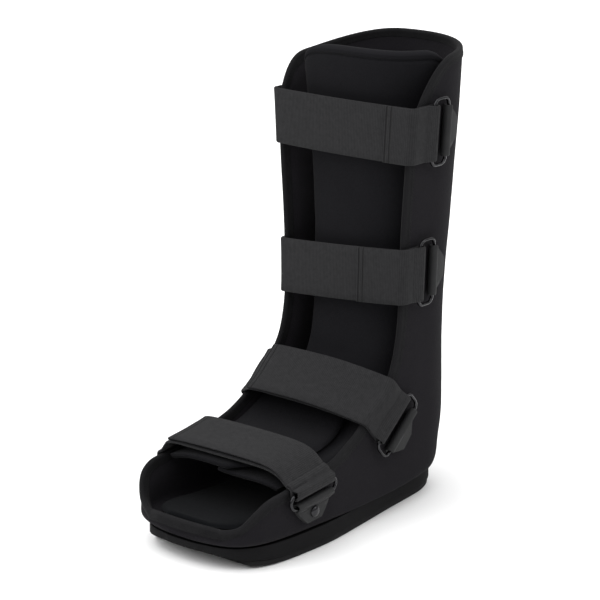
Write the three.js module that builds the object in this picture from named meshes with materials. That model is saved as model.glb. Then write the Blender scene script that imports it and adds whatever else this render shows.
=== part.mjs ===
// A medical walking boot: a padded shell, open at the front and the toe, on a rocker sole,
// with a shin pad, two forefoot flaps and four straps that close through metal rings.
// Millimetres, +Z up, toe towards -Y, rings on the +X side, origin on the floor under the foot.

import * as THREE from 'three';
import { LoftGeometry } from 'three/addons/geometries/LoftGeometry.js';

// Driving dimensions of the whole boot
const BOOT_HEIGHT = 398;
const FOOT_LENGTH = 290;
const CALF_WIDTH = 152;
const BALL_WIDTH = 136;
const WALL = 8;
const SOLE_WIDTH = 134;
const SOLE_THICKNESS = 17;
const TREAD_THICKNESS = 5;
const TREAD_INSET = 1.5;
const TREAD_TOE_GAP = 13;
const TOE_SPRING = 8;
const HEEL_SPRING = 3;
const INSOLE_THICKNESS = 6;
const BINDING_HEIGHT = 4;
const BINDING_OVERHANG = 0.6;
const SHIN_PAD_THICKNESS = 9;
const SHIN_PAD_HEIGHT = 294;
const FLAP_THICKNESS = 7;

// Driving dimensions of the straps and their fittings
const STRAP_WIDTH = 48;
const STRAP_THICKNESS = 2.2;
const RING_LENGTH = 60;
const RING_CORNER = 5;
const RING_WIRE = 3;
const TAB_THICKNESS = 2;
const TAB_WIDTH = 44;
const RIVET_DIAMETER = 10;
const RIVET_HEIGHT = 2.5;
const CLEARANCE = 0.3;

// Heights that follow from them
const SHELL_FLOOR = SOLE_THICKNESS + CLEARANCE;
const SHELL_RISE = BOOT_HEIGHT - BINDING_HEIGHT - CLEARANCE - SHELL_FLOOR;

// The shell is a fan of U-shaped sections, from level at the calf to upright at the toe.
// Spine and rim places are shares of the foot's length and of the rise above the sole,
// calf and ball are shares of those half widths, corner and flare are shares of the half
// width, and lean is how much further the far wall reaches than the near one.
const SECTION_COLUMNS = ['spineY', 'spineZ', 'rimY', 'rimZ', 'calf', 'ball', 'corner', 'power', 'flare', 'lean'];
const SECTIONS = [
  [0.578, 1.000, 0.212, 0.975, 1.00, 0.00, 0.93, 2.15, 0.00, 0.00],
  [0.571, 0.870, 0.212, 0.870, 0.96, 0.00, 0.93, 2.15, 0.00, 0.00],
  [0.560, 0.735, 0.210, 0.740, 0.92, 0.00, 0.93, 2.15, 0.00, 0.00],
  [0.544, 0.603, 0.210, 0.616, 0.88, 0.00, 0.92, 2.20, 0.00, 0.00],
  [0.530, 0.484, 0.210, 0.502, 0.86, 0.00, 0.92, 2.20, 0.00, 0.00],
  [0.521, 0.378, 0.206, 0.405, 0.84, 0.00, 0.92, 2.25, 0.00, 0.01],
  [0.519, 0.286, 0.184, 0.325, 0.67, 0.18, 0.92, 2.30, 0.00, 0.02],
  [0.521, 0.198, 0.146, 0.272, 0.38, 0.51, 0.92, 2.30, 0.01, 0.03],
  [0.519, 0.120, 0.104, 0.239, 0.15, 0.77, 0.90, 2.30, 0.02, 0.04],
  [0.503, 0.060, 0.060, 0.213, 0.00, 0.91, 0.82, 2.35, 0.03, 0.04],
  [0.474, 0.015, 0.026, 0.194, 0.00, 0.92, 0.70, 2.50, 0.03, 0.04],
  [0.405, 0.000, -0.010, 0.176, 0.00, 0.93, 0.50, 3.00, 0.02, 0.04],
  [0.283, 0.000, -0.058, 0.158, 0.00, 0.94, 0.34, 4.20, 0.01, 0.04],
  [0.155, 0.000, -0.124, 0.140, 0.00, 0.97, 0.28, 5.40, 0.01, 0.04],
  [0.017, 0.000, -0.200, 0.127, 0.00, 0.99, 0.25, 6.00, 0.01, 0.03],
  [-0.121, 0.000, -0.276, 0.118, 0.00, 1.00, 0.25, 6.00, 0.01, 0.02],
  [-0.255, 0.000, -0.345, 0.111, 0.00, 0.99, 0.25, 5.80, 0.01, 0.02],
  [-0.366, 0.001, -0.400, 0.105, 0.00, 0.98, 0.25, 5.20, 0.01, 0.02],
  [-0.438, 0.003, -0.442, 0.086, 0.00, 0.94, 0.24, 4.40, 0.01, 0.02],
  [-0.484, 0.006, -0.474, 0.052, 0.00, 0.82, 0.21, 3.60, 0.00, 0.01],
  [-0.508, 0.010, -0.500, 0.037, 0.00, 0.62, 0.20, 3.00, 0.00, 0.00],
  [-0.518, 0.014, -0.515, 0.040, 0.00, 0.40, 0.20, 2.40, 0.00, 0.00],
];
const LAST_SECTION = SECTIONS.length - 1;
const CORNER_STEPS = 14;

// The walls' front top corners are cut away, the near one further round than the far one,
// and the top edge falls a little to the far side. Both are drops in rows of the fan that
// fade out over the first rows.
const TOP_CUT_ROWS = 2;
const NEAR_CUT = { along: 0.34, drop: 1.36, power: 2.1, fallFrom: 0, fallTo: 1, fall: 0 };
const FAR_CUT = { along: 0.26, drop: 0.92, power: 3, fallFrom: 0.15, fallTo: 0.75, fall: 0.21 };

const sectionCurve = new THREE.CubicInterpolant(
  SECTIONS.map((row, index) => index),
  SECTIONS.flat(),
  SECTION_COLUMNS.length,
);

const sectionCache = new Map();

// One section of the fan, in millimetres, at a row number that may lie between rows.
function sectionAt(row) {
  if (!sectionCache.has(row)) {
    const values = Array.from(sectionCurve.evaluate(row));
    const share = Object.fromEntries(SECTION_COLUMNS.map((name, index) => [name, values[index]]));
    const spineZ = SHELL_FLOOR + Math.max(share.spineZ, 0) * SHELL_RISE;
    const spine = new THREE.Vector2(share.spineY * FOOT_LENGTH, spineZ);
    const rim = new THREE.Vector2(share.rimY * FOOT_LENGTH, SHELL_FLOOR + share.rimZ * SHELL_RISE);
    const half = share.calf * CALF_WIDTH / 2 + share.ball * BALL_WIDTH / 2;
    sectionCache.set(row, {
      spine,
      rim,
      inward: rim.clone().sub(spine).normalize(),
      depth: rim.distanceTo(spine),
      half,
      corner: share.corner * half,
      power: share.power,
      flare: share.flare,
      lean: share.lean * CALF_WIDTH,
    });
  }
  return sectionCache.get(row);
}

// How far the wall reaches from the spine on one side, side being 1 near and -1 far.
function reach(section, side) {
  return section.depth - side * section.lean;
}

// Half width of the shell at a height above the spine, inset by an offset from the outside.
function halfAt(section, height, inset, side) {
  const half = section.half - inset;
  const corner = Math.max(section.corner - inset, 0.2 * section.corner);
  const left = Math.max(1 - (height - inset) / corner, 0);
  const narrowing = 1 - section.flare * (1 - height / reach(section, side));
  return half * narrowing * Math.pow(1 - Math.pow(left, section.power), 1 / section.power);
}

// Outline of half a section, from the spine to the rim, as points of (x, height).
function halfOutline(section, inset, side) {
  const corner = Math.max(section.corner - inset, 0.2 * section.corner);
  const end = reach(section, side);
  const points = [];
  for (let step = 0; step <= CORNER_STEPS; step++) {
    const angle = (step / CORNER_STEPS) * Math.PI / 2;
    const height = inset + corner * (1 - Math.pow(Math.cos(angle), 2 / section.power));
    points.push(new THREE.Vector2(halfAt(section, height, inset, side), height));
  }
  points.push(new THREE.Vector2(halfAt(section, end, inset, side), end));
  return points.filter((point) => point.y <= end);
}

// The point that lies at a share of the length of a polyline.
function along(points, share) {
  const lengths = [0];
  for (let i = 1; i < points.length; i++) {
    lengths.push(lengths[i - 1] + points[i].distanceTo(points[i - 1]));
  }
  const target = share * lengths.at(-1);
  let i = 1;
  while (i < points.length - 1 && lengths[i] < target) i++;
  const t = (target - lengths[i - 1]) / (lengths[i] - lengths[i - 1]);
  return points[i - 1].clone().lerp(points[i], t);
}

function place(section, x, height) {
  const yz = section.spine.clone().addScaledVector(section.inward, height);
  return new THREE.Vector3(x, yz.x, yz.y);
}

// How far the top edge falls towards the front corner, at a share of the way round.
function topCut(around) {
  const cut = around > 0 ? NEAR_CUT : FAR_CUT;
  const left = Math.max((Math.abs(around) - (1 - cut.along)) / cut.along, 0);
  const fall = THREE.MathUtils.smoothstep(Math.abs(around), cut.fallFrom, cut.fallTo);
  return cut.drop * left ** cut.power + cut.fall * fall;
}

// A point of the shell: row of the fan, share of the way round from -1 at the far rim
// to 1 at the near rim, and inset from the outer face.
function shellPoint(row, around, inset) {
  const section = sectionAt(row + topCut(around) * Math.max(1 - row / TOP_CUT_ROWS, 0));
  const side = around < 0 ? -1 : 1;
  const flat = along(halfOutline(section, inset, side), Math.abs(around));
  return place(section, side * flat.x, flat.y);
}

// The row and height of a place on a side wall, from its y and z.
function sideFrame(y, z) {
  const at = new THREE.Vector2(y, z);
  let low = 0;
  let high = LAST_SECTION;
  for (let i = 0; i < 30; i++) {
    const row = (low + high) / 2;
    const { spine, inward } = sectionAt(row);
    const to = at.clone().sub(spine);
    if (to.x * inward.y - to.y * inward.x < 0) low = row;
    else high = row;
  }
  const section = sectionAt((low + high) / 2);
  return { section, height: at.clone().sub(section.spine).dot(section.inward) };
}

// Distance of the outer wall from the middle plane at y and z, also beyond the rim.
function wallHalf(y, z, side) {
  const { section, height } = sideFrame(y, z);
  return halfAt(section, Math.min(height, reach(section, side)), 0, side);
}

// How far a place lies inside the rim, negative when it is beyond it.
function insideRim(y, z, side) {
  const { section, height } = sideFrame(y, z);
  return reach(section, side) - height;
}

function range(count, from, to) {
  return Array.from({ length: count + 1 }, (_, i) => from + (to - from) * (i / count));
}

// Shares from -1 to 1 that crowd towards both ends.
function roundShares(count) {
  return range(count, -1, 1).map((share) => 0.35 * share + 0.65 * Math.sin(share * Math.PI / 2));
}

function named(name, geometry, { color, roughness, metalness = 0 }) {
  const mesh = new THREE.Mesh(geometry, new THREE.MeshStandardMaterial({ color, roughness, metalness }));
  mesh.name = name;
  return mesh;
}

function loft(rings) {
  return new LoftGeometry(rings, { capStart: true, capEnd: true });
}

// A ring of rings that closes on itself, for a loop of binding or wire.
function loftLoop(rings) {
  return new LoftGeometry([...rings, rings[0]]);
}

const FABRIC = { color: 0x1c1b1e, roughness: 0.9 };
const LINING = { color: 0x17171b, roughness: 0.95 };
const WEBBING = { color: 0x2c2d2f, roughness: 0.85 };
const LEATHERETTE = { color: 0x26272a, roughness: 0.6 };
const RUBBER = { color: 0x18181a, roughness: 0.8 };
const STEEL = { color: 0x3a3b3e, roughness: 0.3, metalness: 1 };

// Sole: foam with its toe and heel turned up, and a rubber tread glued under it.
// Rows hold the place along the foot, the half width, and the lift at toe and heel.
const SOLE_ROWS = [
  [-0.512, 0.28, 1.00, 0],
  [-0.500, 0.52, 0.84, 0],
  [-0.475, 0.71, 0.58, 0],
  [-0.438, 0.84, 0.32, 0],
  [-0.390, 0.93, 0.12, 0],
  [-0.325, 0.98, 0.03, 0],
  [-0.250, 1.00, 0, 0],
  [-0.120, 1.00, 0, 0],
  [0.040, 0.92, 0, 0],
  [0.180, 0.84, 0, 0],
  [0.300, 0.78, 0, 0],
  [0.380, 0.73, 0, 0.05],
  [0.440, 0.63, 0, 0.30],
  [0.480, 0.46, 0, 0.66],
  [0.500, 0.24, 0, 1.00],
];

function soleBand(rows, inset, bottom, top, lifted) {
  return loft(rows.map(([y, width, toe, heel]) => {
    const half = width * SOLE_WIDTH / 2 - inset;
    const lift = toe * TOE_SPRING + heel * HEEL_SPRING;
    const low = bottom + lift;
    const high = top + (lifted ? lift : 0);
    return [[-half, low], [-half, high], [half, high], [half, low]]
      .map(([x, z]) => new THREE.Vector3(x, y * FOOT_LENGTH, z));
  }));
}

function sole() {
  return soleBand(SOLE_ROWS, 0, TREAD_THICKNESS + CLEARANCE, SOLE_THICKNESS, false);
}

function tread() {
  const toe = SOLE_ROWS[0][0] * FOOT_LENGTH + TREAD_TOE_GAP;
  const rows = SOLE_ROWS.filter(([y]) => y * FOOT_LENGTH > toe);
  return soleBand(rows, TREAD_INSET, 0, TREAD_THICKNESS, true);
}

// Shell: padded wall of one thickness, from the calf round the heel to the toe.
const SHELL_ROWS = [...range(4, 0, 2), ...range(18, 2.5, 16), ...range(8, 16.5, LAST_SECTION)];
const SHELL_SHARES = roundShares(24);

function shell() {
  return loft(SHELL_ROWS.map((row) => [
    ...SHELL_SHARES.map((around) => shellPoint(row, around, 0)),
    ...SHELL_SHARES.toReversed().map((around) => shellPoint(row, around, WALL)),
  ]));
}

// Rim binding: tape folded over the wall's edge, one loop round the top and the toe.
const BINDING_GAP = 1.05;

// Places on the wall's edge from the far toe over the top to the near toe, each with the
// direction across the wall and the direction out of the edge.
function rimPath() {
  const edge = (row, around, out) => {
    const outer = shellPoint(row, around, 0);
    const inner = shellPoint(row, around, WALL);
    return { point: outer.clone().lerp(inner, 0.5), across: inner.sub(outer), out };
  };
  const outOf = (row) => {
    const { inward } = sectionAt(row);
    return new THREE.Vector3(0, inward.x, inward.y);
  };
  const upright = new THREE.Vector3(0, 0, 1);
  return [
    ...SHELL_ROWS.toReversed().map((row) => edge(row, -1, outOf(row))),
    ...SHELL_SHARES.slice(1, -1).map((around) => edge(0, around, upright)),
    ...SHELL_ROWS.map((row) => edge(row, 1, outOf(row))),
  ];
}

function rimBinding() {
  const wide = WALL / 2 + BINDING_OVERHANG;
  const high = BINDING_HEIGHT;
  const outline = [
    [-wide, 0], [-wide, 0.5 * high], [-0.6 * wide, high],
    [0.6 * wide, high], [wide, 0.5 * high], [wide, 0],
  ];
  const path = rimPath();
  return loftLoop(path.map(({ point, across, out }, i) => {
    const step = path[(i + 1) % path.length].point.clone().sub(path.at(i - 1).point).normalize();
    const square = across.clone().addScaledVector(step, -across.dot(step));
    const sideways = square.length() > WALL / 3 ? square : step.clone().cross(out);
    sideways.normalize();
    const up = sideways.clone().cross(step).normalize();
    return outline.map(([x, y]) => point.clone()
      .addScaledVector(sideways, x)
      .addScaledVector(up, y + BINDING_GAP));
  }));
}

// Insole: a soft pad that covers the floor of the shell from heel to toe.
const INSOLE_ROWS = SHELL_ROWS.filter((row) => row > 9.6 && row < 19.6);
const INSOLE_GAP = 2.8;
const INSOLE_SHARES = SHELL_SHARES.filter((around) => Math.abs(around) < 0.44);
const INSOLE_SPREAD = { by: 0.36, from: 14, to: 18 };

function insole() {
  return loft(INSOLE_ROWS.map((row) => {
    const { inward } = sectionAt(row);
    const up = new THREE.Vector3(0, inward.x, inward.y);
    const wider = 1 + INSOLE_SPREAD.by * THREE.MathUtils.smoothstep(row, INSOLE_SPREAD.from, INSOLE_SPREAD.to);
    const under = INSOLE_SHARES.map((around) => shellPoint(row, around * wider, WALL + INSOLE_GAP));
    const over = under.map((point) => point.clone().addScaledVector(up, INSOLE_THICKNESS));
    return [...under, ...over.reverse()];
  }));
}

// Shin pad: a padded panel that is sewn inside the near wall and folds across the shin.
// The path across holds shares of the inner half width and of the leg's depth behind the rim.
const SHIN_PAD_PATH = [
  [-0.76, 0.14], [-0.73, 0.09], [-0.62, 0.055], [-0.42, 0.03], [-0.16, 0.015], [0.12, 0.015],
  [0.38, 0.03], [0.60, 0.065], [0.75, 0.12], [0.86, 0.20], [0.95, 0.30], [1.00, 0.40], [1.00, 0.52],
];
const SHIN_PAD_CORNER = { along: 0.36, drop: 34, over: 0.25 };
const SHIN_PAD_SPREAD = { by: 0.13, over: 0.35 };
const SHIN_PAD_TOP = 0.997;
const SHIN_PAD_LEVELS = 12;
const SHIN_PAD_GAP = 1.1;

// The row of the fan whose rim stands at a height.
function rowOfRim(z) {
  let low = 0;
  let high = 11;
  for (let i = 0; i < 30; i++) {
    const row = (low + high) / 2;
    if (sectionAt(row).rim.y > z) low = row;
    else high = row;
  }
  return low;
}

function offsetLine(points, distance) {
  return points.map((point, i) => {
    const before = points[Math.max(i - 1, 0)];
    const after = points[Math.min(i + 1, points.length - 1)];
    const step = after.clone().sub(before).normalize();
    return new THREE.Vector2(point.x - step.y * distance, point.y + step.x * distance);
  });
}

function shinPad() {
  const top = SHELL_FLOOR + SHIN_PAD_TOP * (BOOT_HEIGHT - SHELL_FLOOR);
  const last = SHIN_PAD_PATH.length - 1;
  return loft(range(SHIN_PAD_LEVELS, 0, 1).map((down) => {
    const level = top - down * SHIN_PAD_HEIGHT;
    const section = sectionAt(rowOfRim(level));
    const wider = 1 + SHIN_PAD_SPREAD.by * Math.max(1 - down / SHIN_PAD_SPREAD.over, 0);
    const line = SHIN_PAD_PATH.map(([across, behind]) => {
      const y = section.rim.x + behind * section.depth;
      const half = wallHalf(y, level, Math.sign(across)) - WALL - SHIN_PAD_GAP;
      return new THREE.Vector2(across * half * (across < 0 ? wider : 1), y);
    });
    const lower = (i) => {
      const left = Math.max(1 - i / last / SHIN_PAD_CORNER.along, 0);
      const fall = SHIN_PAD_CORNER.drop * (1 - Math.sqrt(1 - left * left));
      return level - fall * Math.max(1 - down / SHIN_PAD_CORNER.over, 0);
    };
    const front = line.map((p, i) => new THREE.Vector3(p.x, p.y, lower(i)));
    const back = offsetLine(line, SHIN_PAD_THICKNESS).map((p, i) => new THREE.Vector3(p.x, p.y, lower(i)));
    return [...front.toReversed(), ...back];
  }));
}

// Forefoot flaps: padded, each sewn inside one wall, the far one folded over the near one.
// Rows hold the row of the fan, how high the flaps stand at the walls' edges, their crown
// between the walls, and the place of each free edge, as shares of the ball's half width.
const FLAP_ROWS = [
  [9.2, -0.11, 0.00, 0.60, 0.30],
  [10.0, -0.10, 0.01, 0.62, 0.25],
  [10.8, -0.09, 0.03, 0.66, 0.20],
  [11.6, -0.08, 0.06, 0.70, 0.10],
  [12.4, -0.06, 0.13, 0.72, 0.00],
  [13.2, -0.03, 0.20, 0.68, -0.10],
  [14.0, 0.01, 0.22, 0.56, -0.15],
  [14.7, 0.05, 0.21, 0.42, -0.18],
  [15.3, 0.08, 0.19, 0.28, -0.15],
  [15.8, 0.09, 0.17, 0.14, -0.08],
];
const FLAP_WALL_GAP = 1.2;
const FLAP_LAYER_GAP = 1;
const FLAP_LAP_START = 0.04;
const FLAP_CROWN_POWER = 3;
const FLAP_CROWDING = 0.8;
const FLAP_STEPS = 10;

function flap(side) {
  const ball = BALL_WIDTH / 2;
  return loft(FLAP_ROWS.map(([row, wall, crown, farEdge, nearEdge]) => {
    const section = sectionAt(row);
    const free = side < 0 ? farEdge : nearEdge;
    const line = range(FLAP_STEPS, 0, 1).map((step) => {
      const across = side + (free - side) * (1 - Math.cos(step * Math.PI / 2)) ** FLAP_CROWDING;
      const edge = (reach(section, 1) * (1 + across) + reach(section, -1) * (1 - across)) / 2;
      const rise = wall + crown * (1 - Math.abs(across) ** FLAP_CROWN_POWER);
      const tucked = side < 0 ? 0 : 1 - THREE.MathUtils.smoothstep(across, farEdge + FLAP_LAP_START, 1);
      const height = edge + rise * ball - tucked * (FLAP_THICKNESS + FLAP_LAYER_GAP);
      const half = halfAt(section, Math.min(height, edge), WALL + FLAP_WALL_GAP, side);
      return new THREE.Vector2(across * half, height);
    });
    const under = offsetLine(line, side * FLAP_THICKNESS);
    const ring = [...line, ...under.toReversed()].map((p) => place(section, p.x, p.y));
    return side < 0 ? ring.toReversed() : ring;
  }));
}

// Straps: webbing sewn to the far wall, laid across the opening, through a ring on the near
// wall and back over itself. Each lies in a tilted frame at the rim: centre in shares of the
// foot's length and of the boot's height, turn of its width from level, rise from far to near,
// bulge over the opening and how full it is to the far and near side, the ring's width and its
// place below the rim, how far across the return ends and how loose it lies, and at the far end
// either the length that is sewn to the wall or the place of a second ring.
const STRAPS = {
  calf: {
    y: 0.21, z: 0.832, turn: 90, rise: 0, bulge: 3, full: [2, 2],
    ring: 18, ringWidth: 22, back: 0.7, loose: 0, tail: 46, farRing: 0,
  },
  shin: {
    y: 0.21, z: 0.514, turn: 90, rise: 12, bulge: 3, full: [2, 2],
    ring: 11, ringWidth: 22, back: 0.36, loose: 0, tail: 46, farRing: 0,
  },
  ankle: {
    y: 0.079, z: 0.267, turn: 41, rise: 4, bulge: 8.5, full: [9, 1.8],
    ring: 15, ringWidth: 22, back: -0.86, loose: 2, tail: 40, farRing: 0,
  },
  toe: {
    y: -0.261, z: 0.165, turn: 5, rise: 10, bulge: 12, full: [14, 7],
    ring: 0.5, ringWidth: 15, back: -0.86, loose: 2, tail: 0, farRing: 8,
  },
};
const STRAP_LIFT = 2 * CLEARANCE + BINDING_OVERHANG + STRAP_THICKNESS / 2;
const BEND = 4;
const BAR_GAP = 1;
const BAR_BEND = RING_WIRE / 2 + BAR_GAP + STRAP_THICKNESS / 2;
const BAR_LIFT = STRAP_LIFT + BAR_BEND;
const LAYER = STRAP_THICKNESS + CLEARANCE;
const BRIDGE_STEP = 0.2;
const BRIDGE_END = 0.9;
const RIBBON_LINES = [-1, -0.5, 0, 0.5, 1];
const TAB_LINES = [-1, 0, 1];

// A place in a strap's frame: x across the boot, out away from it, edge from -1 to 1.
function strapPlace(strap, x, out, edge) {
  const turn = THREE.MathUtils.degToRad(strap.turn);
  const share = x / (CALF_WIDTH / 2);
  const sideways = edge * STRAP_WIDTH / 2 + strap.rise * share / 2;
  return new THREE.Vector3(
    x,
    strap.y * FOOT_LENGTH + sideways * Math.cos(turn) - out * Math.sin(turn),
    strap.z * BOOT_HEIGHT + sideways * Math.sin(turn) + out * Math.cos(turn),
  );
}

function wallX(strap, side, out, edge, lift) {
  let half = CALF_WIDTH / 2;
  for (let i = 0; i < 3; i++) {
    const at = strapPlace(strap, side * half, out, edge);
    half = wallHalf(at.y, at.z, side);
  }
  return side * (half + lift);
}

// How far out the rim stands in a strap's frame.
function rimOut(strap, side, edge) {
  let low = -RING_LENGTH;
  let high = RING_LENGTH;
  const x = side * CALF_WIDTH / 2;
  for (let i = 0; i < 30; i++) {
    const out = (low + high) / 2;
    const at = strapPlace(strap, x, out, edge);
    if (insideRim(at.y, at.z, side) > 0) low = out;
    else high = out;
  }
  return low;
}

// A ring's two long bars run straight, so each is set by its place at the strap's edges.
function barOuts(strap, side) {
  const front = rimOut(strap, side, 0) - (side > 0 ? strap.ring : strap.farRing);
  return { front, back: front - (strap.ringWidth - RING_WIRE) };
}

function barX(strap, side, out, edge) {
  const [low, high] = [-1, 1].map((end) => wallX(strap, side, out, end, BAR_LIFT));
  return THREE.MathUtils.lerp(low, high, (edge + 1) / 2);
}

// Half a turn of a ribbon round a ring's bar, from under it to over it.
function aroundBar(side, x, out, bend, away) {
  return range(4, -Math.PI / 2, Math.PI / 2).map((angle) => new THREE.Vector2(
    x + side * bend * Math.sin(angle),
    out + away * bend * Math.cos(angle),
  ));
}

// The line of a strap at one place of its width, in its frame, as points of (x, out).
function strapLine(strap, edge) {
  const rim = { [-1]: rimOut(strap, -1, edge), 1: rimOut(strap, 1, edge) };
  const onWall = (side, out, lift) => new THREE.Vector2(wallX(strap, side, out, edge, lift), out);
  const front = (side) => rim[side] + 6 * CLEARANCE + BINDING_HEIGHT + STRAP_THICKNESS / 2;
  const corner = (side, layer) => range(3, 0, Math.PI / 2).map((angle) => {
    const centre = onWall(side, rim[side], STRAP_LIFT - BEND);
    const bend = BEND + layer * LAYER;
    return new THREE.Vector2(
      centre.x + side * bend * Math.cos(angle),
      front(side) - BEND + bend * Math.sin(angle),
    );
  });
  const bridge = (from, to, layer) => {
    const width = onWall(1, rim[1], STRAP_LIFT - BEND).x;
    const steps = Math.ceil(Math.abs(to - from) / BRIDGE_STEP);
    return range(steps, from, to).map((share) => new THREE.Vector2(
      share * width,
      THREE.MathUtils.lerp(front(-1), front(1), (share + 1) / 2)
        + layer * (LAYER + strap.loose * (1 - share * share))
        + strap.bulge * (1 - Math.abs(share) ** strap.full[share < 0 ? 0 : 1]),
    ));
  };
  const wallSteps = (side, steps, from, to, lift) => (
    range(steps, from, to).map((out) => onWall(side, out, lift)));
  const turn = (side, out) => aroundBar(side, barX(strap, side, out, edge), out, BAR_BEND, -1);
  const clear = (side, out) => turn(side, out).at(-1).add(new THREE.Vector2(0, BEND));
  const bar = barOuts(strap, 1).front;
  const farBar = barOuts(strap, -1).front;
  const farTurn = () => [
    clear(-1, farBar),
    ...turn(-1, farBar).reverse(),
    ...wallSteps(-1, 1, farBar + BEND, rim[-1] - 1, STRAP_LIFT),
  ];
  const farEnd = () => wallSteps(-1, 5, rim[-1] - strap.tail, rim[-1] - BEND, STRAP_LIFT);
  const beside = strap.ring > 2.5 * BEND;
  return [
    ...(strap.farRing ? farTurn() : farEnd()),
    ...corner(-1, 0),
    ...bridge(-BRIDGE_END, BRIDGE_END, 0),
    ...corner(1, 0).toReversed(),
    ...(beside ? wallSteps(1, 1, rim[1] - 1, bar + BEND, STRAP_LIFT) : []),
    ...turn(1, bar),
    ...(beside ? wallSteps(1, 1, bar + 2 * BEND, rim[1] - 1, STRAP_LIFT + LAYER) : [clear(1, bar)]),
    ...corner(1, 1).slice(beside ? 0 : 1),
    ...bridge(BRIDGE_END, strap.back, 1),
  ];
}

// A ribbon lofted along lines that lie side by side across its width.
function ribbon(lines, reversed) {
  const count = lines[0].outer.length;
  const rings = Array.from({ length: count }, (_, i) => [
    ...lines.map((line) => line.outer[i]),
    ...lines.toReversed().map((line) => line.inner[i]),
  ]);
  return loft(reversed ? rings.reverse() : rings);
}

function strapSolid(strap) {
  return ribbon(RIBBON_LINES.map((edge) => {
    const line = strapLine(strap, edge);
    const to3 = (points) => points.map((p) => strapPlace(strap, p.x, p.y, edge));
    return {
      outer: to3(offsetLine(line, STRAP_THICKNESS / 2)),
      inner: to3(offsetLine(line, -STRAP_THICKNESS / 2)),
    };
  }), true);
}

// Rings: a closed loop of round wire, its front bar in the strap and its back bar in the tab.
function ringFrame(strap, side) {
  const { front, back } = barOuts(strap, side);
  const at = (out, edge) => strapPlace(strap, barX(strap, side, out, edge), out, edge);
  const centre = at(front, 0).lerp(at(back, 0), 0.5);
  const along = at(front, 1).sub(at(front, -1)).add(at(back, 1)).sub(at(back, -1)).normalize();
  const out = at(front, 0).sub(at(back, 0)).normalize();
  return { centre, along, out };
}

function ring(strap, side) {
  const { centre, along, out } = ringFrame(strap, side);
  const normal = along.clone().cross(out).normalize();
  const halfLong = (RING_LENGTH - RING_WIRE) / 2 - RING_CORNER;
  const halfWide = (strap.ringWidth - RING_WIRE) / 2 - RING_CORNER;
  const path = [];
  [[1, 1], [-1, 1], [-1, -1], [1, -1]].forEach(([u, v], quarter) => {
    range(4, 0, 1).forEach((t) => {
      const angle = (quarter + t) * Math.PI / 2;
      const away = along.clone().multiplyScalar(Math.cos(angle)).addScaledVector(out, Math.sin(angle));
      path.push({
        away,
        point: centre.clone()
          .addScaledVector(along, u * halfLong)
          .addScaledVector(out, v * halfWide)
          .addScaledVector(away, RING_CORNER),
      });
    });
  });
  return loftLoop(path.map(({ point, away }) => range(6, 0, 2 * Math.PI).slice(0, -1).map((angle) => (
    point.clone()
      .addScaledVector(away, Math.cos(angle) * RING_WIRE / 2)
      .addScaledVector(normal, -Math.sin(angle) * RING_WIRE / 2)))));
}

// Tabs: a pointed piece folded round the ring's back bar and fixed to the wall.
const TAB_LENGTH = 17;
const TAB_TIP = 16;
const TOE_TAB_LENGTH = 18;
const TOE_TAB_TIP = 18;
const TAB_BEND = RING_WIRE / 2 + BAR_GAP + TAB_THICKNESS / 2;
const TAB_LIFT = BAR_LIFT - TAB_BEND;
const TAB_LAYER = TAB_THICKNESS + CLEARANCE;

function tab(strap, side, length, tip) {
  const { back } = barOuts(strap, side);
  const end = back - length;
  const widthAt = (out) => {
    const share = Math.min(Math.max((back - out) / length, 0), 1);
    return (TAB_WIDTH + (tip - TAB_WIDTH) * share ** 1.4) / STRAP_WIDTH;
  };
  const steps = range(6, end, back - 1);
  return ribbon(TAB_LINES.map((edge) => {
    const onWall = (out, lift) => new THREE.Vector2(wallX(strap, side, out, edge * widthAt(out), lift), out);
    const line = [
      ...steps.map((out) => onWall(out, TAB_LIFT)),
      ...aroundBar(side, barX(strap, side, back, edge * widthAt(back)), back, TAB_BEND, 1),
      ...steps.slice(0, -2).reverse().map((out) => onWall(out, TAB_LIFT + TAB_LAYER)),
    ];
    const to3 = (points) => points.map((p) => strapPlace(strap, p.x, p.y, edge * widthAt(p.y)));
    return {
      outer: to3(offsetLine(line, side * TAB_THICKNESS / 2)),
      inner: to3(offsetLine(line, -side * TAB_THICKNESS / 2)),
    };
  }), side > 0);
}

// Rivet: a domed head that fixes the toe strap's tab to the wall, square to it.
const RIVET_INSET = 8;
const RIVET_GAP = 5 * CLEARANCE;

function rivet(strap, side) {
  const out = barOuts(strap, side).back - TOE_TAB_LENGTH + RIVET_INSET;
  const lift = TAB_LIFT + TAB_LAYER + TAB_THICKNESS / 2 + RIVET_GAP;
  const onWall = (down, edge) => strapPlace(strap, wallX(strap, side, down, edge, lift), down, edge);
  const alongWall = onWall(out, 0.1).sub(onWall(out, -0.1));
  const upWall = onWall(out + 2, 0).sub(onWall(out - 2, 0));
  const axis = alongWall.cross(upWall).multiplyScalar(side).normalize();
  const profile = range(4, 0, Math.PI / 2).map((angle) => (
    new THREE.Vector2(RIVET_DIAMETER / 2 * Math.sin(angle), RIVET_HEIGHT * Math.cos(angle))));
  const head = new THREE.LatheGeometry([...profile, new THREE.Vector2(0, 0)].reverse(), 16);
  head.applyQuaternion(new THREE.Quaternion().setFromUnitVectors(new THREE.Vector3(0, 1, 0), axis));
  const at = onWall(out, 0);
  return head.translate(at.x, at.y, at.z);
}

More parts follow.
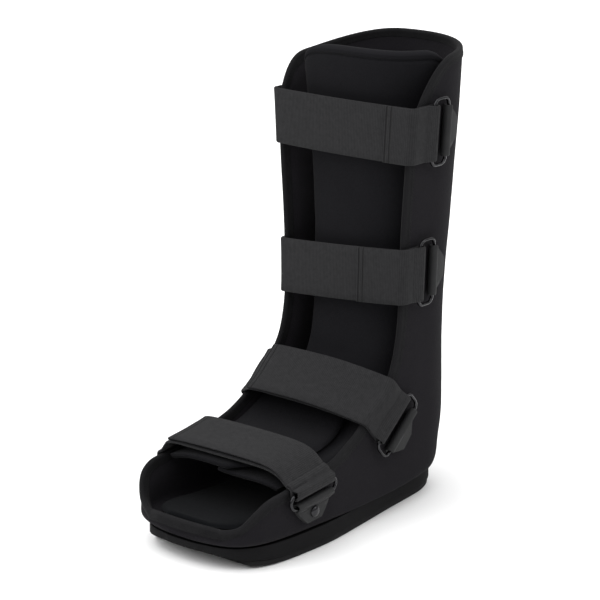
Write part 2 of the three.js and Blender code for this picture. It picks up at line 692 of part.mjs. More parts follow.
export const boot = new THREE.Group();
boot.add(
  named('sole', sole(), RUBBER),
  named('tread', tread(), RUBBER),
  named('shell', shell(), FABRIC),
  named('rim_binding', rimBinding(), FABRIC),
  named('insole', insole(), LINING),
  named('shin_pad', shinPad(), LINING),
  named('flap_far', flap(-1), LINING),
  named('flap_near', flap(1), LINING),
);
Object.entries(STRAPS).forEach(([name, strap]) => {
  const sides = strap.farRing ? { near: 1, far: -1 } : { near: 1 };
  boot.add(named(`strap_${name}`, strapSolid(strap), WEBBING));
  Object.entries(sides).forEach(([place, side]) => {
    const suffix = side > 0 ? name : `${name}_${place}`;
    const [length, tip] = strap.farRing ? [TOE_TAB_LENGTH, TOE_TAB_TIP] : [TAB_LENGTH, TAB_TIP];
    boot.add(named(`ring_${suffix}`, ring(strap, side), STEEL));
    boot.add(named(`tab_${suffix}`, tab(strap, side, length, tip), LEATHERETTE));
    if (strap.farRing) boot.add(named(`rivet_${suffix}`, rivet(strap, side), STEEL));
  });
});

export default boot;
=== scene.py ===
import math
from functools import lru_cache

import bmesh
import bpy
import numpy as np
from mathutils import Matrix, Vector, noise


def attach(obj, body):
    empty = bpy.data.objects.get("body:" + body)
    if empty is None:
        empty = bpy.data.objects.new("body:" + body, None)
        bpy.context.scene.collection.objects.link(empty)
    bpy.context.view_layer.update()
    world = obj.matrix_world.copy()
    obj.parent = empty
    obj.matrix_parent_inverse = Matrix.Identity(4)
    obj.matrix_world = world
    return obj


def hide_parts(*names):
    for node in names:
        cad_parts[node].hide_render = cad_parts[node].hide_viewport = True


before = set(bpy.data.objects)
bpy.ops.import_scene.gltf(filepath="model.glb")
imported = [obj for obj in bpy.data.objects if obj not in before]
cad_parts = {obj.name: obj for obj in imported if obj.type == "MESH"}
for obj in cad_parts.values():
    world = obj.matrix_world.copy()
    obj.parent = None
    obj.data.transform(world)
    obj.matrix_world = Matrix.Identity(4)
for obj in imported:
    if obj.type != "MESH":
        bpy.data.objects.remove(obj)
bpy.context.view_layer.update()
bpy.ops.object.select_all(action="DESELECT")

# The view: a long lens a little above the toe's near side, as the photograph was taken.
# It looks at a point half way up the leg.
AZIMUTH = math.radians(40)
ELEVATION = math.radians(15.8)
AIM = Vector((0.0009, -0.0010, 0.1905))
DISTANCE = 2.060
LENS = 146.7
FARTHEST = 50

back = Vector((
    math.sin(AZIMUTH) * math.cos(ELEVATION),
    -math.cos(AZIMUTH) * math.cos(ELEVATION),
    math.sin(ELEVATION),
))
right = Vector((math.cos(AZIMUTH), math.sin(AZIMUTH), 0))
turn = Matrix((right, back.cross(right), back)).transposed().to_4x4()
bpy.ops.object.camera_add()
camera = bpy.context.object
camera.name = "view"
camera.data.lens = LENS
camera.data.clip_end = FARTHEST
camera.matrix_world = Matrix.Translation(AIM + DISTANCE * back) @ turn
bpy.context.scene.camera = camera

# The studio: a white floor under a sky that is brightest overhead, a wide sun high above
# the toe and two small softboxes for the metal. The shadow on the floor stays faint.
FLOOR_SIZE = 14
FLOOR_DROP = 0.0003
SKY_LIGHT = {"level": 0.38, "overhead": 1.6}
FLOOR_COLOUR = (0.93, 0.93, 0.93, 1)
SUN = {"from": (-0.25, -0.45, 1.0), "strength": 1.5, "angle": 70}
SOFTBOXES = [
    {"name": "toe_side", "at": (-1.4, -2.4, 1.5), "size": 1.2, "power": 12},
    {"name": "back_side", "at": (2.2, 1.0, 1.6), "size": 0.9, "power": 9},
]

world = bpy.data.worlds.new("sky")
world.use_nodes = True
sky = world.node_tree
background = sky.nodes["Background"]
background.inputs["Color"].default_value = (1, 1, 1, 1)
towards = sky.nodes.new("ShaderNodeTexCoord")
height = sky.nodes.new("ShaderNodeSeparateXYZ")
rise = sky.nodes.new("ShaderNodeMapRange")
rise.inputs["To Min"].default_value = SKY_LIGHT["level"]
rise.inputs["To Max"].default_value = SKY_LIGHT["overhead"]
sky.links.new(towards.outputs["Generated"], height.inputs["Vector"])
sky.links.new(height.outputs["Z"], rise.inputs["Value"])
sky.links.new(rise.outputs["Result"], background.inputs["Strength"])
bpy.context.scene.world = world
bpy.context.scene.view_settings.view_transform = "Standard"

bpy.ops.mesh.primitive_plane_add(size=FLOOR_SIZE, location=(0, 0, -FLOOR_DROP))
floor = bpy.context.object
floor.name = "floor"
floor_paint = bpy.data.materials.new("floor_paint")
floor_paint.use_nodes = True
floor_surface = floor_paint.node_tree.nodes["Principled BSDF"].inputs
floor_surface["Base Color"].default_value = FLOOR_COLOUR
floor_surface["Roughness"].default_value = 1
floor.data.materials.append(floor_paint)

bpy.ops.object.light_add(type="SUN")
sun = bpy.context.object
sun.name = "overhead"
sun.data.energy = SUN["strength"]
sun.data.angle = math.radians(SUN["angle"])
sun.rotation_euler = (-Vector(SUN["from"])).to_track_quat("-Z", "Y").to_euler()
for softbox in SOFTBOXES:
    bpy.ops.object.light_add(type="AREA", location=softbox["at"])
    light = bpy.context.object
    light.name = softbox["name"]
    light.data.size = softbox["size"]
    light.data.energy = softbox["power"]
    light.rotation_euler = (AIM - light.location).to_track_quat("-Z", "Y").to_euler()

# The shell: black loop cloth on both faces of a foam wall, one piece round the calf, the
# heel and the foot. It is a fan of U-shaped sections, level at the calf, upright at the toe.
FOOT_LENGTH = 290
CALF_WIDTH = 152
BALL_WIDTH = 136
BOOT_HEIGHT = 398
SHELL_FLOOR = 17.3
SHELL_RISE = 376.4
WALL = 8
FAN_COLUMNS = [
    "spine_y", "spine_z", "rim_y", "rim_z", "calf", "ball", "corner", "power", "flare", "lean",
]
FAN = np.array([
    [0.578, 1.000, 0.212, 0.975, 1.00, 0.00, 0.93, 2.15, 0.00, 0.00],
    [0.571, 0.870, 0.212, 0.870, 0.96, 0.00, 0.93, 2.15, 0.00, 0.00],
    [0.560, 0.735, 0.210, 0.740, 0.92, 0.00, 0.93, 2.15, 0.00, 0.00],
    [0.544, 0.603, 0.210, 0.616, 0.88, 0.00, 0.92, 2.20, 0.00, 0.00],
    [0.530, 0.484, 0.210, 0.502, 0.86, 0.00, 0.92, 2.20, 0.00, 0.00],
    [0.521, 0.378, 0.206, 0.405, 0.84, 0.00, 0.92, 2.25, 0.00, 0.01],
    [0.519, 0.286, 0.184, 0.325, 0.67, 0.18, 0.92, 2.30, 0.00, 0.02],
    [0.521, 0.198, 0.146, 0.272, 0.38, 0.51, 0.92, 2.30, 0.01, 0.03],
    [0.519, 0.120, 0.104, 0.239, 0.15, 0.77, 0.90, 2.30, 0.02, 0.04],
    [0.503, 0.060, 0.060, 0.213, 0.00, 0.91, 0.82, 2.35, 0.03, 0.04],
    [0.474, 0.015, 0.026, 0.194, 0.00, 0.92, 0.70, 2.50, 0.03, 0.04],
    [0.405, 0.000, -0.010, 0.176, 0.00, 0.93, 0.50, 3.00, 0.02, 0.04],
    [0.283, 0.000, -0.058, 0.158, 0.00, 0.94, 0.34, 4.20, 0.01, 0.04],
    [0.155, 0.000, -0.124, 0.140, 0.00, 0.97, 0.28, 5.40, 0.01, 0.04],
    [0.017, 0.000, -0.200, 0.127, 0.00, 0.99, 0.25, 6.00, 0.01, 0.03],
    [-0.121, 0.000, -0.276, 0.118, 0.00, 1.00, 0.25, 6.00, 0.01, 0.02],
    [-0.255, 0.000, -0.345, 0.111, 0.00, 0.99, 0.25, 5.80, 0.01, 0.02],
    [-0.366, 0.001, -0.400, 0.105, 0.00, 0.98, 0.25, 5.20, 0.01, 0.02],
    [-0.438, 0.003, -0.442, 0.086, 0.00, 0.94, 0.24, 4.40, 0.01, 0.02],
    [-0.484, 0.006, -0.474, 0.052, 0.00, 0.82, 0.21, 3.60, 0.00, 0.01],
    [-0.508, 0.010, -0.500, 0.037, 0.00, 0.62, 0.20, 3.00, 0.00, 0.00],
    [-0.518, 0.014, -0.515, 0.040, 0.00, 0.40, 0.20, 2.40, 0.00, 0.00],
])
LAST_ROW = len(FAN) - 1
OUTLINE_STEPS = 40
TOP_CUT_ROWS = 2
CUTS = {
    1: {"along": 0.34, "drop": 1.36, "power": 2.1, "fall": 0},
    -1: {"along": 0.26, "drop": 0.92, "power": 3, "fall": 0.21},
}
FALL_FROM = 0.15
FALL_TO = 0.75
PUFF = 0.5
WRINKLE = 0.45
EDGE_WALL = 4.6
EDGE_FADE = {"across": 9, "top": 0.25, "toe": 1.2}
RIM_CALM = 12
LEAST_CORNER = 0.2
RIM_STEP = 0.1
PROBE = 2
LEAST_PROBE = 0.5
ROW_DIGITS = 5


def ease(value, start, stop):
    """0 before start, 1 after stop and smooth between."""
    share = min(max((value - start) / (stop - start), 0), 1)
    return share * share * (3 - 2 * share)


def remembered(function):
    """Works a function of a row out once for all rows that agree to a few digits."""
    known = lru_cache(None)(function)

    def look_up(row, *others):
        return known(round(row, ROW_DIGITS), *others)

    return look_up


def smooth_rows(table, rows):
    """Rows of a table at row numbers that may lie between them, on one smooth curve."""
    last = len(table) - 1
    rows = np.clip(np.atleast_1d(rows), 0, last)
    low = np.minimum(rows.astype(int), last - 1)
    p = (rows - low)[:, None]
    first, final = low == 0, low == last - 1
    before = table[np.where(first, 1, low - 1)]
    after = table[np.where(final, low, np.minimum(low + 2, last))]
    wb = np.where(first, -0.5, 0.5)[:, None]
    wa = np.where(final, -0.5, 0.5)[:, None]
    p2, p3 = p * p, p * p * p
    return (
        (-wb * p3 + 2 * wb * p2 - wb * p) * before
        + ((1 + wb) * p3 + (-1.5 - 2 * wb) * p2 + (wb - 0.5) * p + 1) * table[low]
        + ((-1 - wa) * p3 + (1.5 + wa) * p2 + 0.5 * p) * table[low + 1]
        + (wa * p3 - wa * p2) * after
    )


@remembered
def section(row):
    """One section of the fan, in millimetres."""
    share = dict(zip(FAN_COLUMNS, smooth_rows(FAN, row)[0]))
    lift = max(share["spine_z"], 0) * SHELL_RISE
    spine = np.array([share["spine_y"] * FOOT_LENGTH, SHELL_FLOOR + lift])
    rim = np.array([share["rim_y"] * FOOT_LENGTH, SHELL_FLOOR + share["rim_z"] * SHELL_RISE])
    depth = np.hypot(*(rim - spine))
    half = share["calf"] * CALF_WIDTH / 2 + share["ball"] * BALL_WIDTH / 2
    return {
        "spine": spine,
        "rim": rim,
        "inward": (rim - spine) / depth,
        "depth": depth,
        "half": half,
        "corner": share["corner"] * half,
        "power": share["power"],
        "flare": share["flare"],
        "lean": share["lean"] * CALF_WIDTH,
    }


def reach(at, side):
    """Height of a section's rim above its spine, on one side."""
    return at["depth"] - side * at["lean"]


def corner_at(at, inset):
    return max(at["corner"] - inset, LEAST_CORNER * at["corner"])


def half_at(at, height, inset, side):
    """Half width of the shell at a height above the spine."""
    left = np.clip(1 - (height - inset) / corner_at(at, inset), 0, 1)
    narrowing = 1 - at["flare"] * (1 - height / reach(at, side))
    return (at["half"] - inset) * narrowing * (1 - left ** at["power"]) ** (1 / at["power"])


@remembered
def outline(row, inset, side):
    """Half a section from the spine to the rim: widths, heights and lengths along it."""
    at = section(row)
    angles = np.linspace(0, math.pi / 2, OUTLINE_STEPS + 1)
    heights = inset + corner_at(at, inset) * (1 - np.cos(angles) ** (2 / at["power"]))
    end = reach(at, side)
    heights = np.append(heights[heights < end - RIM_STEP], end)
    widths = half_at(at, heights, inset, side)
    lengths = np.concatenate([[0], np.cumsum(np.hypot(np.diff(widths), np.diff(heights)))])
    return widths, heights, lengths


def place(at, x, height):
    y, z = at["spine"] + at["inward"] * height
    return np.array([x, y, z])


def shell_point(row, around, inset):
    """A point of the wall: -1 is the far rim, 0 the spine and 1 the near rim."""
    side = -1 if around < 0 else 1
    cut = CUTS[side]
    left = max((abs(around) - (1 - cut["along"])) / cut["along"], 0)
    drop = cut["drop"] * left ** cut["power"] + cut["fall"] * ease(abs(around), FALL_FROM, FALL_TO)
    row = row + drop * max(1 - row / TOP_CUT_ROWS, 0)
    widths, heights, lengths = outline(row, inset, side)
    length = abs(around) * lengths[-1]
    x = side * np.interp(length, lengths, widths)
    return place(section(row), x, np.interp(length, lengths, heights))


def make_solid(name, rings, closed=False):
    """A closed mesh lofted through rings of (x, y, z) in millimetres, with a UV map in metres."""
    rings = np.asarray(rings, float) / 1000
    n, m = rings.shape[:2]
    ring_steps = np.linalg.norm(np.roll(rings, -1, axis=1) - rings, axis=2)
    v = np.concatenate([np.zeros((n, 1)), np.cumsum(ring_steps, axis=1)], axis=1)
    row_steps = np.linalg.norm(np.roll(rings, -1, axis=0) - rings, axis=2).mean(axis=1)
    u = np.concatenate([[0], np.cumsum(row_steps)])
    faces, uvs = [], []
    for i in range(n if closed else n - 1):
        k = (i + 1) % n
        for j in range(m):
            ahead = (j + 1) % m
            faces.append((i * m + j, i * m + ahead, k * m + ahead, k * m + j))
            uvs += [(u[i], v[i, j]), (u[i], v[i, j + 1])]
            uvs += [(u[i + 1], v[k, j + 1]), (u[i + 1], v[k, j])]
    if not closed:
        for base, row in ((0, 0), ((n - 1) * m, n - 1)):
            for j in range(m // 2 - 1):
                faces.append((base + j, base + j + 1, base + m - 2 - j, base + m - 1 - j))
                uvs += [(u[row], v[row, j])] * 4
    mesh = bpy.data.meshes.new(name)
    mesh.from_pydata(rings.reshape(-1, 3).tolist(), [], faces)
    mesh.uv_layers.new(name="UVMap").data.foreach_set("uv", np.array(uvs).ravel())
    whole = bmesh.new()
    whole.from_mesh(mesh)
    bmesh.ops.recalc_face_normals(whole, faces=whole.faces)
    whole.to_mesh(mesh)
    whole.free()
    piece = bpy.data.objects.new(name, mesh)
    bpy.context.collection.objects.link(piece)
    return piece


def finish_piece(piece, material, slot, *nodes, smooth=50):
    """Smooths a piece, gives it its material and sets it on the frame in place of its nodes."""
    bpy.ops.object.select_all(action="DESELECT")
    piece.select_set(True)
    bpy.context.view_layer.objects.active = piece
    bpy.ops.object.shade_smooth_by_angle(angle=math.radians(smooth))
    piece.select_set(False)
    piece.data.materials.clear()
    piece.data.materials.append(material)
    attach(piece, "root")
    if nodes:
        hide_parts(*nodes)


class Wire:
    """A socket that takes part in sums written in Python."""

    def __init__(self, paint, socket):
        self.paint = paint
        self.socket = socket

    def maths(self, operation, *others):
        return self.paint.node("ShaderNodeMath", {"operation": operation}, [self, *others])

    def __add__(self, other):
        return self.maths("ADD", other)

    def __sub__(self, other):
        return self.maths("SUBTRACT", other)

    def __mul__(self, other):
        return self.maths("MULTIPLY", other)

    def __rsub__(self, other):
        return self.paint.node("ShaderNodeMath", {"operation": "SUBTRACT"}, [other, self])

    __radd__ = __add__
    __rmul__ = __mul__

    def steps(self, low, high):
        """0 below low, 1 above high and smooth between."""
        settings = {"interpolation_type": "SMOOTHSTEP"}
        return self.paint.node("ShaderNodeMapRange", settings, [self, low, high])

    def line(self, at, fades, full):
        """1 within full of a place, 0 further from it than fades and smooth between."""
        return (self - at).maths("ABSOLUTE").steps(fades, full)


class Paint:
    """A material and the nodes that make it."""

    def __init__(self, name, **surface):
        self.material = bpy.data.materials.new(name)
        self.material.use_nodes = True
        self.tree = self.material.node_tree
        self.surface = self.tree.nodes["Principled BSDF"].inputs
        for socket, value in surface.items():
            self.surface[socket.replace("_", " ")].default_value = value

    def node(self, kind, settings, values, output=0):
        """Adds a node, makes its settings, fills its sockets and gives one of its outputs."""
        made = self.tree.nodes.new(kind)
        for setting, value in settings.items():
            setattr(made, setting, value)
        pairs = values.items() if isinstance(values, dict) else enumerate(values)
        for key, value in pairs:
            if isinstance(value, Wire):
                self.tree.links.new(value.socket, made.inputs[key])
            elif value is not None:
                made.inputs[key].default_value = value
        return Wire(self, made.outputs[output])

    def link(self, wire, socket):
        self.tree.links.new(wire.socket, self.surface[socket])

    def place(self):
        return self.node("ShaderNodeTexCoord", {}, {}, "Object")

    def uv(self):
        """The UV map's two lengths, in millimetres."""
        lengths = self.node("ShaderNodeTexCoord", {}, {}, "UV")
        run = self.node("ShaderNodeSeparateXYZ", {}, [lengths])
        across = Wire(self, run.socket.node.outputs[1])
        return run * 1000, across * 1000

    def noise(self, scale, detail=3, rough=0.5):
        values = {"Vector": self.place(), "Scale": scale, "Detail": detail, "Roughness": rough}
        return self.node("ShaderNodeTexNoise", {}, values)

    def colour(self, mask, low, high):
        values = {0: mask, 6: (*low, 1), 7: (*high, 1)}
        self.link(self.node("ShaderNodeMix", {"data_type": "RGBA"}, values, 2), "Base Color")

    def bump(self, height, distance, strength=1):
        values = {"Strength": strength, "Distance": distance, "Height": height}
        self.link(self.node("ShaderNodeBump", {}, values, "Normal"), "Normal")


CLOTH = {"Roughness": 0.95, "Specular_IOR_Level": 0.05, "Sheen_Weight": 0.02, "Sheen_Roughness": 0.5}
GRAIN = {"scale": 1300, "detail": 2, "rough": 0.6}
PATCHES = {"scale": 28, "detail": 3}
LOOPS = {"scale": 420, "detail": 2}
NAP = 0.00035


def cloth_paint(name, dark, light):
    """Matt cloth with a short nap: fine grain, and soft patches where the nap lies over."""
    paint = Paint(name, **CLOTH)
    grain = paint.noise(**GRAIN)
    paint.colour(grain * 0.6 + paint.noise(**PATCHES) * 0.4, dark, light)
    paint.bump(grain + paint.noise(**LOOPS) * 0.7, NAP, 0.7)
    return paint.material


SHELL_CLOTH = cloth_paint("shell_cloth", (0.0064, 0.006, 0.0073), (0.0128, 0.0118, 0.0138))


def spread(count, start, stop):
    return np.linspace(start, stop, count + 1)


def wrinkles(point, scale=0.018):
    """Soft waves in the cloth, wide ones and finer ones of half their height."""
    finer = 2.3
    return noise.noise(Vector(point) * scale) + 0.5 * noise.noise(Vector(point) * scale * finer)


SHELL_STRETCHES = [(26, 0, 2.4), (62, 2.5, 16), (36, 16.1, LAST_ROW)]
SHELL_ROWS = np.concatenate([spread(*stretch) for stretch in SHELL_STRETCHES])
EVEN = 0.35
SHELL_SHARES = np.array([
    EVEN * share + (1 - EVEN) * math.sin(share * math.pi / 2) for share in spread(96, -1, 1)
])


def wall_at(row, around):
    """The wall's thickness, which the binding presses together along the edge."""
    length = outline(row, 0, 1)[2][-1]
    pressed = max(
        math.exp(-((1 - abs(around)) * length / EDGE_FADE["across"]) ** 2),
        math.exp(-(row / EDGE_FADE["top"]) ** 2),
        math.exp(-((LAST_ROW - row) / EDGE_FADE["toe"]) ** 2),
    )
    return WALL + (EDGE_WALL - WALL) * pressed


def shell_ring(row):
    """One ring of the shell: its outer face, swollen and wrinkled, and its inner face."""
    outer = []
    for around in SHELL_SHARES:
        point = shell_point(row, around, 0)
        outward = point - shell_point(row, around, PROBE)
        calm = 1 - math.exp(-(1 - abs(around)) * RIM_CALM)
        swell = (PUFF + WRINKLE * wrinkles(point)) * calm * min(row, 1)
        outer.append(point + outward / max(np.linalg.norm(outward), LEAST_PROBE) * swell)
    inner = [shell_point(row, around, wall_at(row, around)) for around in SHELL_SHARES[::-1]]
    return outer + inner


shell = make_solid("padded_shell", [shell_ring(row) for row in SHELL_ROWS])
finish_piece(shell, SHELL_CLOTH, "shell_fabric", "shell")

# The rim's binding: soft black tape folded over the wall's edge all the way round, and
# sewn through it on both faces, so that the edge stands up as a rounded bead.
TAPE = 0.6
TAPE_LEG = 3.6
TAPE_RISE = 2.2
TAPE_BEAD = 0.45
TAPE_BITE = 0.2
TAPE_WAVES = [(1, 0.3), (0.86, 0.4), (0.7, 0.1), (0.55, 0.4), (0.4, 0.45), (0.2, 0.2)]
TAPE_CREST = TAPE_LEG + TAPE_RISE + 2.2


def edge_path():
    """Places on the wall's edge from the far toe over the calf to the near toe and across."""
    path = []

    def add(row, around, out):
        outer = shell_point(row, around, 0)
        inner = shell_point(row, around, EDGE_WALL)
        path.append(((outer + inner) / 2, inner - outer, out))

    def out_of(row):
        y, z = section(row)["inward"]
        return np.array([0, y, z])

    for row in SHELL_ROWS[::-1]:
        add(row, -1, out_of(row))
    for around in SHELL_SHARES[1:-1]:
        add(0, around, np.array([0, 0, 1.0]))
    for row in SHELL_ROWS:
        add(row, 1, out_of(row))
    far, near = path[0][0], path[-1][0]
    for t in spread(10, 0, 1)[1:-1]:
        bow = np.array([0, 4 * t * (1 - t), 0])
        path.append((near * (1 - t) + far * t - bow, np.zeros(3), out_of(LAST_ROW)))
    return path


def half_turn(radius):
    return [(-radius * math.cos(a), TAPE_RISE + radius * math.sin(a)) for a in spread(12, 0, math.pi)]


def tape_outline():
    """The tape's closed outline: up the outer leg, over the edge and down the inner leg."""
    wide = EDGE_WALL / 2 + TAPE_BEAD
    leg = [(-(wide - TAPE_BITE + out), -down * TAPE_LEG) for down, out in TAPE_WAVES]
    over = leg + half_turn(wide) + [(-x, up) for x, up in leg[::-1]]
    inside = [(TAPE - wide, up) for _, up in leg]
    under = inside + half_turn(wide - TAPE) + [(-x, up) for x, up in inside[::-1]]
    return over + under[::-1]


def bound_ring(point, across, out, step):
    """The tape's outline set square to the edge at one place of it."""
    square = across - step * across.dot(step)
    if np.linalg.norm(square) < EDGE_WALL / 3:
        square = np.cross(step, out)
    square = square / np.linalg.norm(square)
    up = np.cross(square, step)
    return [point + square * x + up * u for x, u in TAPE_OUTLINE]


TAPE_OUTLINE = tape_outline()
path = edge_path()
places = np.array([p[0] for p in path])
steps = np.roll(places, -1, axis=0) - np.roll(places, 1, axis=0)
steps /= np.linalg.norm(steps, axis=1)[:, None]
rim_tape = make_solid("rim_tape", [bound_ring(*p, s) for p, s in zip(path, steps)], closed=True)


YARN = {"Specular_IOR_Level": 0.08, "Sheen_Weight": 0.03, "Sheen_Roughness": 0.5}
TAPE_TONES = ((0.0042, 0.0042, 0.0048), (0.0082, 0.008, 0.0088))


def tape_paint():
    """Finely woven tape with stitches near the edge of its outer leg and a painted highlight along the top of
    its bead.
    """
    paint = Paint("edge_tape", Roughness=0.85, **YARN)
    run, across = paint.uv()
    weave = (run * 5.2).maths("SINE") + (across * 5.2).maths("SINE")
    stitch = across.line(1, 0.5, 0.2) * (run * 2.2).maths("SINE").steps(-0.2, 0.2)
    # A painted highlight: the band along the top of the bead is painted paler, where the light from above
    # falls.
    crest_highlight = across.line(TAPE_CREST, 1.7, 0.8)
    paint.colour(paint.noise(90, 3) + stitch * 1.4 + crest_highlight * 2.5, *TAPE_TONES)
    paint.bump(weave * 0.25 + paint.noise(700, 2) + stitch, 0.0003, 0.6)
    return paint.material


finish_piece(rim_tape, tape_paint(), "binding_tape", "rim_binding")

# The sole: a foam layer that turns up at the toe and the heel, and under it a rubber
# tread that starts a little behind the toe. Both are cut to one outline and glued.
SOLE_WIDTH = 134
SOLE_THICKNESS = 17
TREAD_THICKNESS = 5
TREAD_INSET = 1.5
TREAD_TOE_GAP = 13
TOE_SPRING = 8
HEEL_SPRING = 3
SOLE_RIM = {"width": 5.5, "rise": 2.4}
SOLE_BEVEL = 0.8
SOLE_JOINT = 0.3
SOLE_END = 1.6
ALONG, HALF_WIDTH, TOE_LIFT, HEEL_LIFT = range(4)
SOLE_ROWS = np.array([
    [-0.512, 0.28, 1.00, 0], [-0.500, 0.52, 0.84, 0], [-0.475, 0.71, 0.58, 0], [-0.438, 0.84, 0.32, 0],
    [-0.390, 0.93, 0.12, 0], [-0.325, 0.98, 0.03, 0], [-0.250, 1.00, 0, 0], [-0.120, 1.00, 0, 0],
    [0.040, 0.92, 0, 0], [0.180, 0.84, 0, 0], [0.300, 0.78, 0, 0], [0.380, 0.73, 0, 0.05],
    [0.440, 0.63, 0, 0.30], [0.480, 0.46, 0, 0.66], [0.500, 0.24, 0, 1.00],
])


def sole_outline(rows, inset, count=96):
    """Points of the outline from the toe along one side to the heel and back, in millimetres."""
    line = smooth_rows(rows, spread(count, 0, len(rows) - 1))
    y = line[:, ALONG] * FOOT_LENGTH
    x = line[:, HALF_WIDTH] * SOLE_WIDTH / 2 - inset

    def end(at, angles):
        return [(x[at] * math.sin(a), y[at] - SOLE_END * math.cos(a)) for a in angles]

    toe = end(0, spread(6, 0, math.pi / 2)[:-1])
    heel = end(-1, spread(6, math.pi / 2, math.pi)[1:])
    side = toe + list(zip(x, y)) + heel
    return side + [(-px, py) for px, py in side[-2:0:-1]]


def sole_lift(y):
    toe = np.interp(y / FOOT_LENGTH, SOLE_ROWS[:, ALONG], SOLE_ROWS[:, TOE_LIFT])
    heel = np.interp(y / FOOT_LENGTH, SOLE_ROWS[:, ALONG], SOLE_ROWS[:, HEEL_LIFT])
    return toe * TOE_SPRING + heel * HEEL_SPRING


def sole_layer(name, points, low, high, lift_top, rim=None):
    """A slab of an outline: a circle drawn out to it, pulled up, rimmed, bevelled and sprung."""
    bpy.ops.mesh.primitive_circle_add(vertices=len(points), fill_type="NGON")
    layer = bpy.context.object
    layer.name = name
    for vertex, (x, y) in zip(layer.data.vertices, points):
        vertex.co = (x / 1000, y / 1000, low / 1000)
    bpy.ops.object.mode_set(mode="EDIT")
    bpy.ops.mesh.select_all(action="SELECT")
    bpy.ops.mesh.extrude_region_move(TRANSFORM_OT_translate={"value": (0, 0, (high - low) / 1000)})
    if rim:
        bpy.ops.mesh.inset(thickness=rim["width"] / 1000)
        bpy.ops.transform.translate(value=(0, 0, -rim["rise"] / 1000))
    bpy.ops.mesh.select_all(action="SELECT")
    bpy.ops.mesh.normals_make_consistent(inside=False)
    bpy.ops.object.mode_set(mode="OBJECT")
    edges = bpy.context.object.modifiers.new("rounded edges", "BEVEL")
    edges.width = SOLE_BEVEL / 1000
    edges.segments = 3
    edges.limit_method = "ANGLE"
    edges.angle_limit = math.radians(50)
    bpy.ops.object.modifier_apply(modifier=edges.name)
    for vertex in layer.data.vertices:
        share = (vertex.co.z * 1000 - low) / (high - low)
        vertex.co.z += sole_lift(vertex.co.y * 1000) / 1000 * (1 if lift_top else 1 - share)
    return layer


def rubber_paint(name, colour, rough, grain):
    """Matt rubber or foam in one colour and a darker shade of it."""
    paint = Paint(name, Roughness=rough, Specular_IOR_Level=0.1)
    low = tuple(c * 0.7 for c in colour)
    paint.colour(paint.noise(60, 4), low, colour)
    paint.bump(paint.noise(900, 3, 0.6), grain, 0.5)
    return paint.material


SOLE_FOAM = rubber_paint("sole_foam", (0.0072, 0.007, 0.0076), 0.85, 0.00025)
TREAD_RUBBER = rubber_paint("tread_rubber", (0.0125, 0.0123, 0.0128), 0.75, 0.00015)
sole_low = TREAD_THICKNESS + SOLE_JOINT
sole_high = SOLE_THICKNESS + SOLE_RIM["rise"]
sole = sole_layer("sole_slab", sole_outline(SOLE_ROWS, 0), sole_low, sole_high, False, SOLE_RIM)
finish_piece(sole, SOLE_FOAM, "sole_foam", "sole")
toe_end = SOLE_ROWS[0, ALONG] * FOOT_LENGTH + TREAD_TOE_GAP
tread_rows = SOLE_ROWS[SOLE_ROWS[:, ALONG] * FOOT_LENGTH > toe_end]
tread = sole_layer("tread_slab", sole_outline(tread_rows, TREAD_INSET), 0, TREAD_THICKNESS, True)
finish_piece(tread, TREAD_RUBBER, "tread_rubber", "tread")

# The insole: soft foam in lining cloth that lies on the shell's floor from heel to toe.
# Its front edge is rounded, and shows behind the binding at the open toe. Its cloth is painted darker than the
# other lining, as painted shade deep inside the boot.
INSOLE_THICKNESS = 6
INSOLE_GAP = 2.8
INSOLE_SHARE = 0.43
INSOLE_SPREAD = {"by": 0.36, "start": 14, "stop": 18}
INSOLE_HEEL = 9.7
INSOLE_TOE = 19.5
INSOLE_END = 0.3
# Painted shade: the same lining cloth, painted about half as dark and bluer, for the shade deep inside the
# boot.
SHADED_INSOLE_CLOTH = cloth_paint("insole_cloth_shaded", (0.0022, 0.0025, 0.003), (0.0048, 0.0052, 0.0062))


def soft_run(start, stop, end, count, middle):
    """Places from start to stop, closer together over the rounded stretch at each end."""
    turn = spread(count, 0, math.pi / 2)
    return np.concatenate([start + end * (1 - np.cos(turn)), middle, stop - end + end * np.sin(turn)])


def fullness(from_edge, over, least):
    """Share of a soft form's thickness at a distance from its rounded edge."""
    near = np.clip(from_edge / over, least, 1)
    return np.sqrt(1 - (1 - near) ** 2)


def insole_ring(row, thickness):
    at = section(row)
    up = np.array([0, *at["inward"]])
    shares = spread(40, -INSOLE_SHARE, INSOLE_SHARE)
    wider = 1 + INSOLE_SPREAD["by"] * ease(row, INSOLE_SPREAD["start"], INSOLE_SPREAD["stop"])
    under = [shell_point(row, share * wider, WALL + INSOLE_GAP) for share in shares]
    edge = (1 - (np.abs(shares) / INSOLE_SHARE) ** 8) ** 0.5
    middle = [p + up * INSOLE_THICKNESS * 0.4 for p in under]
    over = [m + up * thickness * 0.6 * e for m, e in zip(middle, edge)]
    below = [m - up * thickness * 0.4 * e for m, e in zip(middle, edge)]
    return below + over[::-1]


insole_rows = soft_run(INSOLE_HEEL, INSOLE_TOE, INSOLE_END, 5, spread(40, 10.1, 19.2)[:-1])
insole_ends = np.minimum(insole_rows - INSOLE_HEEL, INSOLE_TOE - insole_rows)
insole_full = INSOLE_THICKNESS * fullness(insole_ends, INSOLE_END, 0.03)
insole = make_solid("insole_pad", [insole_ring(r, t) for r, t in zip(insole_rows, insole_full)])
finish_piece(insole, SHADED_INSOLE_CLOTH, "lining_fabric", "insole", smooth=80)

